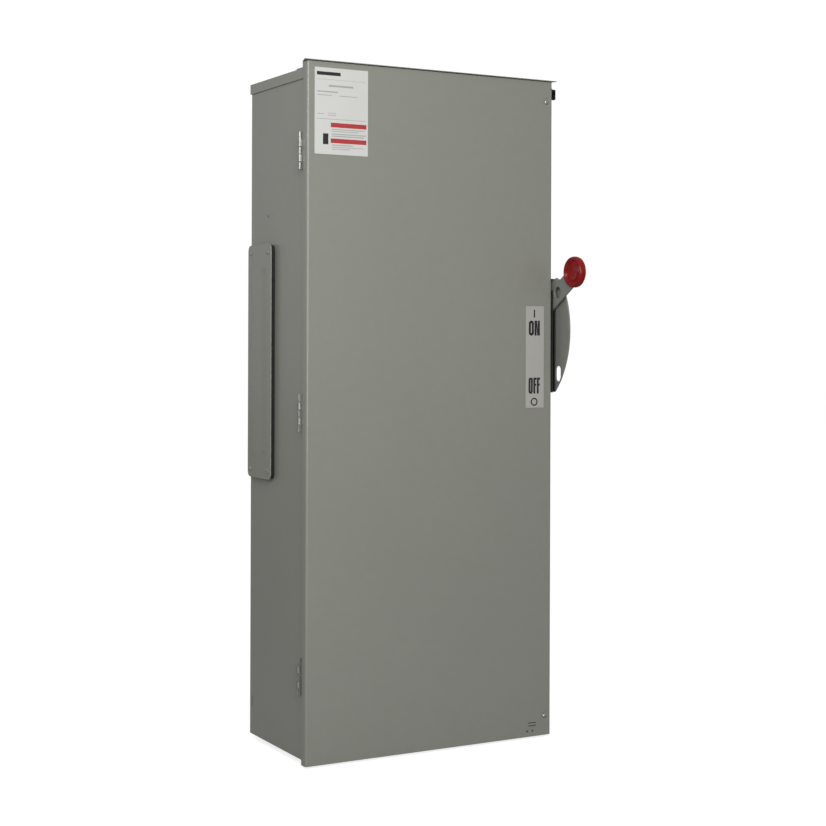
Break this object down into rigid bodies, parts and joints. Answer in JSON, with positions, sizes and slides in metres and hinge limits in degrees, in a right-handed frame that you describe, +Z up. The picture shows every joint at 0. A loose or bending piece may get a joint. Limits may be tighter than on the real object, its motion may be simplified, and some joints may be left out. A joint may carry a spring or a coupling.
{
  "type": "safety disconnect switch",
  "caption": "Tall wall-mounted fusible safety switch: hinged door, drip hood, side handle with a round grip and padlock guard, knife blades and fuses inside.",
  "frame": {"origin": "centre of the back face that meets the wall", "axes": "+Z up, -Y out of the wall through the door, +X to the handle side"},
  "size_m": [0.5342, 0.3495, 1.2281],
  "materials": {
    "grey_paint": "satin grey enamel with a light orange peel",
    "handle_paint": "satin grey enamel, a little darker",
    "black_steel": "black oxide steel",
    "foam": "closed cell foam",
    "red_plastic": "glossy moulded red plastic",
    "zinc": "bright zinc plated steel",
    "galvanised": "galvanised steel",
    "copper": "bare copper",
    "tinned": "tin plated aluminium",
    "moulding": "moulded thermoset",
    "fibre": "fibre board and tube",
    "label": "printed film label",
    "nylon": "black nylon",
    "clear_plastic": "clear polycarbonate"
  },
  "bodies": {
    "enclosure": {"enclosure_body": "grey_paint", "top_endwall": "grey_paint", "drip_hood": "grey_paint", "bottom_endwall": "grey_paint", "side_cover_gasket": "foam", "side_cover": "grey_paint", "wall_hasp": "black_steel", "hinge_body_leaf_1": "zinc", "hinge_body_leaf_2": "zinc", "hinge_body_leaf_3": "zinc", "hinge_pin_1": "zinc", "hinge_pin_2": "zinc", "hinge_pin_3": "zinc", "handle_guard": "handle_paint", "guard_wear_pad": "nylon", "shaft_bush": "nylon", "mechanism_frame": "galvanised", "operating_spring": "zinc", "mounting_pan": "galvanised", "switch_base": "moulding", "load_base": "moulding", "line_terminal_1": "copper", "line_terminal_2": "copper", "line_terminal_3": "copper", "arc_chute_1": "fibre", "arc_chute_2": "fibre", "arc_chute_3": "fibre", "hinge_terminal_1": "copper", "hinge_terminal_2": "copper", "hinge_terminal_3": "copper", "fuse_1": "fibre", "fuse_2": "fibre", "fuse_3": "fibre", "load_terminal_1": "copper", "load_terminal_2": "copper", "load_terminal_3": "copper", "neutral_bar": "tinned", "ground_bar": "tinned", "line_shield": "clear_plastic"},
    "door": {"door_panel": "grey_paint", "door_stiffener": "grey_paint", "nameplate_label": "label", "on_off_label": "label", "door_hasp": "black_steel", "hinge_door_leaf_1": "zinc", "hinge_door_leaf_2": "zinc", "hinge_door_leaf_3": "zinc"},
    "door_screw_top_body": {"door_screw_top": "zinc"},
    "door_screw_bottom_body": {"door_screw_bottom": "zinc"},
    "handle": {"handle_lever": "handle_paint", "handle_grip": "red_plastic", "operating_shaft": "zinc", "handle_bolt": "zinc", "shaft_crank": "galvanised"},
    "link": {"drive_link": "galvanised"},
    "rotor": {"crossbar": "moulding", "rotor_crank": "galvanised", "switch_blade_1": "copper", "switch_blade_2": "copper", "switch_blade_3": "copper"}
  },
  "joints": [
    {"name": "door_swing", "type": "hinge", "parent": "enclosure", "child": "door", "pos_m": [-0.25825, -0.2325, 0], "axis": [0, 0, -1], "range_deg": [0, 150]},
    {"name": "door_screw_top_turn", "type": "hinge", "parent": "door", "child": "door_screw_top_body", "pos_m": [0.24175, -0.2543, 0.5765], "axis": [0, -1, 0], "continuous": true},
    {"name": "door_screw_bottom_turn", "type": "hinge", "parent": "door", "child": "door_screw_bottom_body", "pos_m": [0.24175, -0.2543, -0.5755], "axis": [0, -1, 0], "continuous": true},
    {"name": "handle_throw", "type": "hinge", "parent": "enclosure", "child": "handle", "pos_m": [0.26, -0.133, 0.1485], "axis": [1, 0, 0], "range_deg": [0, 62]},
    {"name": "link_turn", "type": "hinge", "parent": "handle", "child": "link", "pos_m": [0.1583, -0.1637, 0.13955], "axis": [1, 0, 0], "range_deg": [-62, 0]},
    {"name": "rotor_turn", "type": "hinge", "parent": "enclosure", "child": "rotor", "pos_m": [0.1527, -0.08, 0.1], "axis": [1, 0, 0], "range_deg": [0, 62]}
  ],
  "couplings": [
    {"joint": "link_turn", "follows": "handle_throw", "ratio": -1},
    {"joint": "rotor_turn", "follows": "handle_throw", "ratio": 1}
  ]
}
